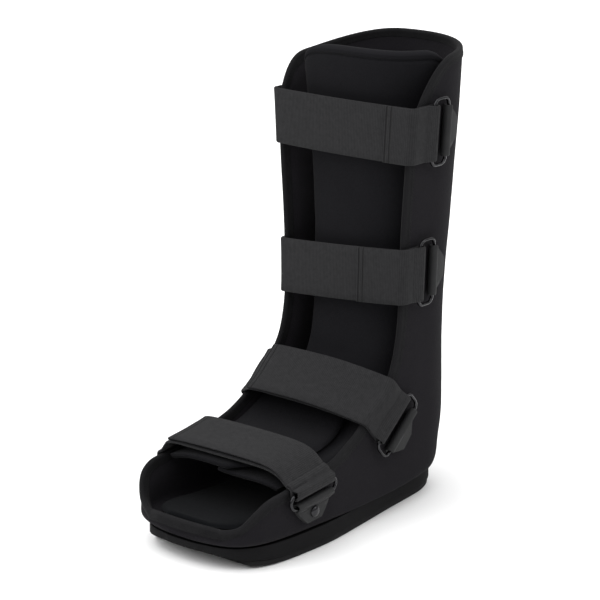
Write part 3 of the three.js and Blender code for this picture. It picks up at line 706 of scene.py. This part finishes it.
# The shin pad: a padded panel sewn inside the near wall and folded across the shin to lie
# inside the far wall. Its top edge is bound, and its free edges are turned and soft.
SHIN_PAD_PATH = np.array([
    [-0.76, 0.14], [-0.73, 0.09], [-0.62, 0.055], [-0.42, 0.03], [-0.16, 0.015], [0.12, 0.015],
    [0.38, 0.03], [0.60, 0.065], [0.75, 0.12], [0.86, 0.20], [0.95, 0.30], [1.00, 0.40], [1.00, 0.52],
])
SHIN_PAD_CORNER = {"along": 0.36, "drop": 34, "over": 0.25}
SHIN_PAD_SPREAD = {"by": 0.13, "over": 0.35}
SHIN_PAD_SINK = {"by": 14, "from": 0.8}
SHIN_PAD_TOP = 0.997
SHIN_PAD_HEIGHT = 294
SHIN_PAD_THICKNESS = 9
SHIN_PAD_GAP = 1.1
PAD_STEPS = 60
PAD_SIDE = 0.02
PAD_SEAMS = {
    "side": {"at": 0.045, "wide": 0.007, "deep": 0.6},
    "top": {"at": 0.027, "wide": 0.004, "deep": 1.6},
}
PAD_WAVES = {"scale": 0.02, "deep": 0.8}
PAD_END = 0.012
PIPING = 4.2
PAD_SEAM = 8.5
PAD_TONES = ((0.0048, 0.0048, 0.0056), (0.0095, 0.0093, 0.0108))
PAD_SEARCH = spread(220, 0, 11)
PAD_RIMS = np.array([section(row)["rim"][1] for row in PAD_SEARCH])
FINE = [section(row) for row in spread(1400, 0, LAST_ROW)]
FINE_SPINE = np.array([at["spine"] for at in FINE])
FINE_INWARD = np.array([at["inward"] for at in FINE])


def side_frame(y, z):
    """The section of the fan that passes through a place on a side wall, and its height there."""
    dy, dz = y - FINE_SPINE[:, 0], z - FINE_SPINE[:, 1]
    turned = dy * FINE_INWARD[:, 1] - dz * FINE_INWARD[:, 0]
    index = int(np.argmax(turned >= 0)) if (turned >= 0).any() else len(FINE) - 1
    return FINE[index], dy[index] * FINE_INWARD[index, 0] + dz[index] * FINE_INWARD[index, 1]


def wall_half(y, z, side):
    """Half width of the shell's outer face at a place on one side."""
    at, height = side_frame(y, z)
    return float(half_at(at, min(height, reach(at, side)), 0, side))


def offset_line(points, distance):
    """A line of points moved square to itself, to its left."""
    points = np.asarray(points)
    index = np.arange(len(points))
    step = points[np.minimum(index + 1, len(points) - 1)] - points[np.maximum(index - 1, 0)]
    step /= np.linalg.norm(step, axis=1)[:, None]
    return points + np.stack([-step[:, 1], step[:, 0]], axis=1) * np.reshape(distance, (-1, 1))


def groove(along, seam):
    """How deep a sewn seam draws a soft form in, at places along it."""
    return seam["deep"] * np.exp(-((along - seam["at"]) / seam["wide"]) ** 2)


def pad_ring(down, thickness):
    """The pad's outline at one level: along its face and back along its rear."""
    level = SHELL_FLOOR + SHIN_PAD_TOP * (BOOT_HEIGHT - SHELL_FLOOR) - down * SHIN_PAD_HEIGHT
    at = section(float(np.interp(-level, -PAD_RIMS, PAD_SEARCH)))
    wider = 1 + SHIN_PAD_SPREAD["by"] * max(1 - down / SHIN_PAD_SPREAD["over"], 0)
    line = []
    for across, behind in smooth_rows(SHIN_PAD_PATH, spread(PAD_STEPS, 0, len(SHIN_PAD_PATH) - 1)):
        y = at["rim"][0] + behind * at["depth"]
        half = wall_half(y, level, math.copysign(1, across)) - WALL - SHIN_PAD_GAP
        line.append((across * half * (wider if across < 0 else 1), y))
    share = spread(PAD_STEPS, 0, 1)
    left = np.clip(1 - share / SHIN_PAD_CORNER["along"], 0, 1)
    sunk = np.clip((share - SHIN_PAD_SINK["from"]) / (1 - SHIN_PAD_SINK["from"]), 0, 1)
    fall = SHIN_PAD_CORNER["drop"] * (1 - np.sqrt(1 - left**2)) + SHIN_PAD_SINK["by"] * sunk**2
    fall *= max(1 - down / SHIN_PAD_CORNER["over"], 0)
    full = thickness * fullness(np.minimum(share, 1 - share), PAD_SIDE, 0.04)
    middle = offset_line(line, SHIN_PAD_THICKNESS / 2)
    waves = np.array([wrinkles((*place, level), PAD_WAVES["scale"]) for place in middle])
    dent = groove(share, PAD_SEAMS["side"]) + PAD_WAVES["deep"] * waves
    front = offset_line(middle, dent - full / 2)
    rear = offset_line(middle, full / 2)
    z = level - fall
    return [(*place, h) for place, h in zip(front, z)] + [(*place, h) for place, h in zip(rear[::-1], z[::-1])]


def pad_paint():
    """Lining cloth, with a painted highlight on the bound top edge and a dark seam line along the top."""
    paint = Paint("pad_cloth", **CLOTH)
    down, _ = paint.uv()
    grain = paint.noise(**GRAIN) * 0.6 + paint.noise(**PATCHES) * 0.4
    # A painted highlight: the bound top edge is painted lighter, where the light from above catches it.
    piping_highlight = down.steps(PIPING + 0.6, PIPING)
    seam = down.line(PAD_SEAM, 1.1, 0.5)
    paint.colour(grain + piping_highlight * 2.6 - seam, *PAD_TONES)
    paint.bump(grain + paint.noise(**LOOPS) * 0.5 - seam * 3, NAP, 0.7)
    return paint.material


LINING_CLOTH = cloth_paint("lining_cloth", (0.0045, 0.0045, 0.0052), (0.009, 0.0088, 0.0102))
pad_middle = np.concatenate([spread(10, 0.014, 0.06), spread(50, 0.07, 0.985)])
pad_downs = soft_run(0, 1, PAD_END, 4, pad_middle)
pad_full = SHIN_PAD_THICKNESS * fullness(np.minimum(pad_downs, 1 - pad_downs), PAD_END, 0.03)
pad_full -= groove(pad_downs, PAD_SEAMS["top"])
shin_pad = make_solid("shin_panel", [pad_ring(d, t) for d, t in zip(pad_downs, pad_full)])
finish_piece(shin_pad, pad_paint(), "lining_fabric", "shin_pad", smooth=80)

# The forefoot flaps: two padded panels sewn inside the walls. The far one folds over the
# near one, and both have thick rounded edges that show under the toe strap.
FLAP_ROWS = np.array([
    [9.2, -0.11, 0.00, 0.60, 0.30],
    [10.0, -0.10, 0.01, 0.62, 0.25],
    [10.8, -0.09, 0.03, 0.66, 0.20],
    [11.6, -0.08, 0.06, 0.70, 0.10],
    [12.4, -0.06, 0.13, 0.72, 0.00],
    [13.2, -0.03, 0.20, 0.68, -0.10],
    [14.0, 0.01, 0.22, 0.56, -0.15],
    [14.7, 0.05, 0.21, 0.42, -0.18],
    [15.3, 0.08, 0.19, 0.28, -0.15],
    [15.8, 0.09, 0.17, 0.14, -0.08],
])
FLAP_WALL_GAP = 1.2
FLAP_LAYER_GAP = 1
FLAP_LAP_START = 0.04
FLAP_THICKNESS = 7
FLAP_STEPS = 36
FLAP_CROWDING = 0.8
FLAP_SIDE = 0.07
FLAP_END = 0.25


def flap_ring(side, values, thickness):
    """One ring of a flap, from the wall over the foot to its free edge and back under it."""
    row, wall, crown, far_edge, near_edge = values
    at = section(row)
    ball = BALL_WIDTH / 2
    free = far_edge if side < 0 else near_edge
    lap = far_edge + FLAP_LAP_START
    share = spread(FLAP_STEPS, 0, 1)
    across = side + (free - side) * (1 - np.cos(share * math.pi / 2)) ** FLAP_CROWDING
    line = []
    for a in across:
        edge = (reach(at, 1) * (1 + a) + reach(at, -1) * (1 - a)) / 2
        rise = wall + crown * (1 - abs(a) ** 3)
        tucked = 0 if side < 0 else 1 - ease(a, lap, 1)
        height = edge + rise * ball - tucked * (FLAP_THICKNESS + FLAP_LAYER_GAP)
        line.append((a * half_at(at, min(height, edge), WALL + FLAP_WALL_GAP, side), height))
    full = thickness * fullness(1 - share, FLAP_SIDE, 0.05)
    middle = offset_line(line, side * FLAP_THICKNESS / 2)
    over = offset_line(middle, -side * full / 2)
    under = offset_line(middle, side * full / 2)
    return [place(at, *p) for p in over] + [place(at, *p) for p in under[::-1]]


def make_flap(name, side, node):
    last = len(FLAP_ROWS) - 1
    where = soft_run(0, last, FLAP_END, 5, spread(30, 0.3, last - 0.3))
    full = FLAP_THICKNESS * fullness(np.minimum(where, last - where), FLAP_END, 0.04)
    rows = smooth_rows(FLAP_ROWS, where)
    flap = make_solid(name, [flap_ring(side, values, t) for values, t in zip(rows, full)])
    finish_piece(flap, LINING_CLOTH, "lining_fabric", node, smooth=80)


make_flap("forefoot_flap_far", -1, "flap_far")
make_flap("forefoot_flap_near", 1, "flap_near")

# The straps: charcoal ribbed webbing, sewn to the far wall, laid across the opening,
# through a ring on the near wall and back over itself, where it grips.
STRAP_WIDTH = 48
STRAP_THICKNESS = 2.2
RING_LENGTH = 60
RING_WIRE = 3
CLEARANCE = 0.3
STRAP_LIFT = 2 * CLEARANCE + TAPE + STRAP_THICKNESS / 2
BEND = 4
BAR_GAP = 1
BAR_BEND = RING_WIRE / 2 + BAR_GAP + STRAP_THICKNESS / 2
BAR_LIFT = STRAP_LIFT + BAR_BEND
LAYER = STRAP_THICKNESS + CLEARANCE
BINDING_HEIGHT = 4
BRIDGE_END = 0.9
BRIDGE_STEPS = 24
EDGE_SHARE = 0.35
STRAPS = {
    "calf": {"y": 0.21, "z": 0.832, "turn": 90, "rise": 0, "bulge": 3, "full": (2, 2),
             "ring": 18, "ring_width": 22, "back": 0.7, "loose": 0, "tail": 46, "far_ring": 0,
             "tab": (17, 16)},
    "shin": {"y": 0.21, "z": 0.514, "turn": 90, "rise": 12, "bulge": 3, "full": (2, 2),
             "ring": 11, "ring_width": 22, "back": 0.36, "loose": 0, "tail": 46, "far_ring": 0,
             "tab": (17, 16)},
    "ankle": {"y": 0.079, "z": 0.267, "turn": 41, "rise": 4, "bulge": 8.5, "full": (9, 1.8),
              "ring": 15, "ring_width": 22, "back": -0.86, "loose": 2, "tail": 40, "far_ring": 0,
              "tab": (17, 16)},
    "toe": {"y": -0.261, "z": 0.165, "turn": 5, "rise": 10, "bulge": 12, "full": (14, 7),
            "ring": 0.5, "ring_width": 15, "back": -0.86, "loose": 2, "tail": 0, "far_ring": 8,
            "tab": (18, 18)},
}
EDGES = [-1, -0.96, -0.7, -0.35, 0, 0.35, 0.7, 0.96, 1]


def strap_place(strap, x, out, edge):
    """A place in a strap's frame: x across the boot, out away from it, edge across its width."""
    angle = math.radians(strap["turn"])
    sideways = edge * STRAP_WIDTH / 2 + strap["rise"] * x / CALF_WIDTH
    return np.array([
        x,
        strap["y"] * FOOT_LENGTH + sideways * math.cos(angle) - out * math.sin(angle),
        strap["z"] * BOOT_HEIGHT + sideways * math.sin(angle) + out * math.cos(angle),
    ])


def wall_x(strap, side, out, edge, lift):
    """How far from the middle plane a strap lies on a side wall, found in a few rounds."""
    half = CALF_WIDTH / 2
    for _ in range(3):
        _, y, z = strap_place(strap, side * half, out, edge)
        half = wall_half(y, z, side)
    return side * (half + lift)


def rim_out(strap, side, edge):
    """How far out the rim stands in a strap's frame."""
    low, high = -RING_LENGTH, RING_LENGTH
    for _ in range(20):
        out = (low + high) / 2
        _, y, z = strap_place(strap, side * CALF_WIDTH / 2, out, edge)
        at, height = side_frame(y, z)
        if reach(at, side) > height:
            low = out
        else:
            high = out
    return low


def bar_outs(strap, side):
    """Where a ring's front and back bars lie in a strap's frame."""
    front = rim_out(strap, side, 0) - strap["ring" if side > 0 else "far_ring"]
    return front, front - (strap["ring_width"] - RING_WIRE)


def bar_x(strap, side, out, edge):
    low, high = (wall_x(strap, side, out, end, BAR_LIFT) for end in (-1, 1))
    return low + (high - low) * (edge + 1) / 2


def around_bar(side, x, out, bend, away):
    """Half a turn round a bar, from below it to above it."""
    angles = spread(10, -math.pi / 2, math.pi / 2)
    return [(x + side * bend * math.sin(a), out + away * bend * math.cos(a)) for a in angles]


def strap_line(strap, edge):
    """The strap's middle line at one place of its width, as (x, out), from the far end."""
    rim = {side: rim_out(strap, side, edge) for side in (-1, 1)}

    def on_wall(side, out, lift):
        return wall_x(strap, side, out, edge, lift), out

    def front(side):
        return rim[side] + 6 * CLEARANCE + BINDING_HEIGHT + STRAP_THICKNESS / 2

    def corner(side, layer):
        x = on_wall(side, rim[side], STRAP_LIFT - BEND)[0]
        low = front(side) - BEND
        bend = BEND + layer * LAYER
        angles = spread(8, 0, math.pi / 2)
        return [(x + side * bend * math.cos(a), low + bend * math.sin(a)) for a in angles]

    def bridge(start, stop, layer):
        width = on_wall(1, rim[1], STRAP_LIFT - BEND)[0]
        line = []
        for share in spread(max(int(abs(stop - start) * BRIDGE_STEPS), 2), start, stop):
            full = strap["full"][0 if share < 0 else 1]
            out = front(-1) + (front(1) - front(-1)) * (share + 1) / 2
            out += layer * (LAYER + strap["loose"] * (1 - share * share))
            line.append((share * width, out + strap["bulge"] * (1 - abs(share) ** full)))
        return line

    def wall_steps(side, count, start, stop, lift):
        return [on_wall(side, out, lift) for out in spread(count, start, stop)]

    def turn_bar(side, out):
        return around_bar(side, bar_x(strap, side, out, edge), out, BAR_BEND, -1)

    def clear(side, out):
        x, up = turn_bar(side, out)[-1]
        return x, up + BEND

    bar = bar_outs(strap, 1)[0]
    far_bar = bar_outs(strap, -1)[0]
    if strap["far_ring"]:
        start = [clear(-1, far_bar), *turn_bar(-1, far_bar)[::-1]]
        start += wall_steps(-1, 2, far_bar + BEND, rim[-1] - 1, STRAP_LIFT)
    else:
        start = wall_steps(-1, 10, rim[-1] - strap["tail"], rim[-1] - BEND, STRAP_LIFT)
    if strap["ring"] > 2.5 * BEND:
        to_bar = wall_steps(1, 3, rim[1] - 1, bar + BEND, STRAP_LIFT)
        back_up = wall_steps(1, 2, bar + 2 * BEND, rim[1] - 1, STRAP_LIFT + LAYER) + corner(1, 1)
    else:
        to_bar = []
        back_up = [clear(1, bar)] + corner(1, 1)[2:]
    return [
        *start,
        *corner(-1, 0),
        *bridge(-BRIDGE_END, BRIDGE_END, 0),
        *corner(1, 0)[::-1],
        *to_bar,
        *turn_bar(1, bar),
        *back_up,
        *bridge(BRIDGE_END, strap["back"], 1),
    ]


def ribbon(name, lines, thickness, to_place):
    """A flat band through side-by-side lines, rounded at its two edges, from its last end."""
    over, under = [], []
    for edge, line in zip(EDGES, lines):
        part = thickness / 2 * (EDGE_SHARE if abs(edge) == 1 else 1)
        over.append([to_place(edge, p) for p in offset_line(line, part)])
        under.append([to_place(edge, p) for p in offset_line(line, -part)])
    rings = [[*tops, *lows[::-1]] for tops, lows in zip(zip(*over), zip(*under))]
    return make_solid(name, rings[::-1])


STITCH_ROWS = (2, 6.4)
YARN_TONES = ((0.0118, 0.0118, 0.0124), (0.0325, 0.0322, 0.0338))


def webbing_paint():
    """Ribbed weave in charcoal yarn, with two rows of stitches near its last end."""
    paint = Paint("webbing", Roughness=0.9, **YARN)
    run, across = paint.uv()
    ribs = (run * 3.9).maths("SINE")
    yarns = (across * 5.7 + ribs * 0.6).maths("SINE")
    first, second = (run.line(at, 0.9, 0.4) for at in STITCH_ROWS)
    seams = first + second
    fibres = paint.noise(260, 4, 0.65)
    paint.colour(fibres * 0.75 + ribs * 0.12 - seams * 1.6, *YARN_TONES)
    paint.bump(ribs * 0.3 + yarns * 0.2 + fibres * 0.8 - seams * 4, 0.0003, 0.9)
    return paint.material


WEBBING = webbing_paint()
for strap_name, strap in STRAPS.items():
    band = ribbon(
        f"{strap_name}_band",
        [strap_line(strap, edge) for edge in EDGES],
        STRAP_THICKNESS,
        lambda edge, point, strap=strap: strap_place(strap, *point, edge),
    )
    finish_piece(band, WEBBING, "webbing", f"strap_{strap_name}")
    steps_along = np.linalg.norm(np.diff(strap_line(strap, 0), axis=0), axis=1)

# The rings: dark plated wire bent to long loops with round corners. The strap turns round
# the front bar, and a tab holds the back bar.
RING_CORNER = 6


def ring_frame(strap, side):
    """A matrix that sets a flat loop beside a strap's bars: along, out and away from the wall."""
    front, rear = bar_outs(strap, side)

    def at(out, edge):
        return strap_place(strap, bar_x(strap, side, out, edge), out, edge)

    centre = (at(front, 0) + at(rear, 0)) / 2
    along = Vector(at(front, 1) - at(front, -1) + at(rear, 1) - at(rear, -1)).normalized()
    out = Vector(at(front, 0) - at(rear, 0)).normalized()
    normal = along.cross(out).normalized()
    axes = Matrix((along, out, normal)).transposed().to_4x4()
    return Matrix.Translation(Vector(centre) / 1000) @ axes


def wire_ring(name, width, frame_matrix):
    """A square drawn to the loop's size, its corners rounded, and swept into round wire."""
    bpy.ops.mesh.primitive_plane_add(size=1)
    loop = bpy.context.object
    loop.name = name
    bpy.ops.object.mode_set(mode="EDIT")
    bpy.ops.transform.resize(value=((RING_LENGTH - RING_WIRE) / 1000, (width - RING_WIRE) / 1000, 1))
    bpy.ops.mesh.delete(type="ONLY_FACE")
    bpy.ops.mesh.select_all(action="SELECT")
    bpy.ops.mesh.bevel(offset=RING_CORNER / 1000, segments=10, affect="VERTICES")
    bpy.ops.object.mode_set(mode="OBJECT")
    bpy.ops.object.convert(target="CURVE")
    bpy.context.object.data.bevel_depth = RING_WIRE / 2000
    bpy.context.object.data.bevel_resolution = 4
    bpy.ops.object.convert(target="MESH")
    loop = bpy.context.object
    loop.data.transform(frame_matrix)
    bpy.ops.object.mode_set(mode="EDIT")
    bpy.ops.mesh.select_all(action="SELECT")
    bpy.ops.mesh.remove_doubles(threshold=0.00001)
    bpy.ops.mesh.normals_make_consistent(inside=False)
    bpy.ops.object.mode_set(mode="OBJECT")
    return loop


def metal_paint():
    paint = Paint("dark_plate", Metallic=1.0, Roughness=0.3)
    paint.colour(paint.noise(240, 3), (0.02, 0.02, 0.0215), (0.045, 0.045, 0.0475))
    paint.link(paint.noise(500, 2) * 0.12 + 0.14, "Roughness")
    return paint.material


DARK_PLATE = metal_paint()
for strap_name, strap in STRAPS.items():
    for side in (1, -1) if strap["far_ring"] else (1,):
        suffix = strap_name if side > 0 else f"{strap_name}_far"
        loop = wire_ring(f"wire_{suffix}", strap["ring_width"], ring_frame(strap, side))
        finish_piece(loop, DARK_PLATE, "ring_steel", f"ring_{suffix}")

# The tabs: dark leatherette, folded round a ring's back bar and sewn to the wall in a
# point. Those of the toe strap are larger and each held by a rivet.
TAB_THICKNESS = 2
TAB_WIDTH = 44
TAB_BEND = RING_WIRE / 2 + BAR_GAP + TAB_THICKNESS / 2
TAB_LIFT = BAR_LIFT - TAB_BEND
TAB_LAYER = TAB_THICKNESS + CLEARANCE


def make_tab(name, strap, side):
    """A tab: up the wall from its point, round the ring's back bar and down over itself."""
    length, tip = strap["tab"]
    rear = bar_outs(strap, side)[1]

    def width_at(out):
        share = min(max((rear - out) / length, 0), 1)
        return (TAB_WIDTH + (tip - TAB_WIDTH) * share**1.4) / STRAP_WIDTH

    steps = spread(14, rear - length, rear - 1)

    def line(edge):
        def on_wall(out, lift):
            return wall_x(strap, side, out, edge * width_at(out), lift), out

        x = bar_x(strap, side, rear, edge * width_at(rear))
        return [
            *[on_wall(out, TAB_LIFT) for out in steps],
            *around_bar(side, x, rear, TAB_BEND, 1),
            *[on_wall(out, TAB_LIFT + TAB_LAYER) for out in steps[-4::-1]],
        ]

    return ribbon(
        name, [line(edge) for edge in EDGES], TAB_THICKNESS,
        lambda edge, point: strap_place(strap, *point, edge * width_at(point[1])),
    )


def leatherette_paint():
    """Coated cloth with a fine pebble grain."""
    paint = Paint("leatherette", Roughness=0.6, Specular_IOR_Level=0.2)
    pebbles = paint.node("ShaderNodeTexVoronoi", {}, {"Vector": paint.place(), "Scale": 900})
    paint.colour(paint.noise(80, 3), (0.0085, 0.0087, 0.0092), (0.017, 0.0172, 0.018))
    paint.bump(pebbles + paint.noise(350, 2), 0.0002, 0.5)
    return paint.material


LEATHERETTE = leatherette_paint()
for strap_name, strap in STRAPS.items():
    for side in (1, -1) if strap["far_ring"] else (1,):
        suffix = strap_name if side > 0 else f"{strap_name}_far"
        tab = make_tab(f"keeper_{suffix}", strap, side)
        finish_piece(tab, LEATHERETTE, "tab_leatherette", f"tab_{suffix}")

# The rivets: domed heads of the rings' dark metal that fix the toe strap's tabs to the
# wall. Their flat undersides stand just off the leatherette.
RIVET_DIAMETER = 10
RIVET_HEIGHT = 2.5
RIVET_INSET = 8
RIVET_GAP = 0.4


def make_rivet(name, strap, side):
    out = bar_outs(strap, side)[1] - strap["tab"][0] + RIVET_INSET
    lift = TAB_LIFT + TAB_LAYER + TAB_THICKNESS / 2

    def on_wall(down, edge):
        return Vector(strap_place(strap, wall_x(strap, side, down, edge, lift), down, edge))

    along = on_wall(out, 0.1) - on_wall(out, -0.1)
    upward = on_wall(out + 2, 0) - on_wall(out - 2, 0)
    axis = along.cross(upward).normalized() * side
    bpy.ops.mesh.primitive_uv_sphere_add(segments=32, ring_count=24, radius=RIVET_DIAMETER / 2000)
    head = bpy.context.object
    head.name = name
    for vertex in head.data.vertices:
        vertex.co.z = max(vertex.co.z, 0) * RIVET_HEIGHT / (RIVET_DIAMETER / 2) + RIVET_GAP / 1000
    bpy.ops.object.mode_set(mode="EDIT")
    bpy.ops.mesh.select_all(action="SELECT")
    bpy.ops.mesh.remove_doubles(threshold=0.00002)
    bpy.ops.mesh.normals_make_consistent(inside=False)
    bpy.ops.object.mode_set(mode="OBJECT")
    upright = axis.to_track_quat("Z", "Y").to_matrix().to_4x4()
    head.data.transform(Matrix.Translation(on_wall(out, 0) / 1000) @ upright)
    return head


for suffix, side in (("toe", 1), ("toe_far", -1)):
    head = make_rivet(f"rivet_head_{suffix}", STRAPS["toe"], side)
    finish_piece(head, DARK_PLATE, "ring_steel", f"rivet_{suffix}")
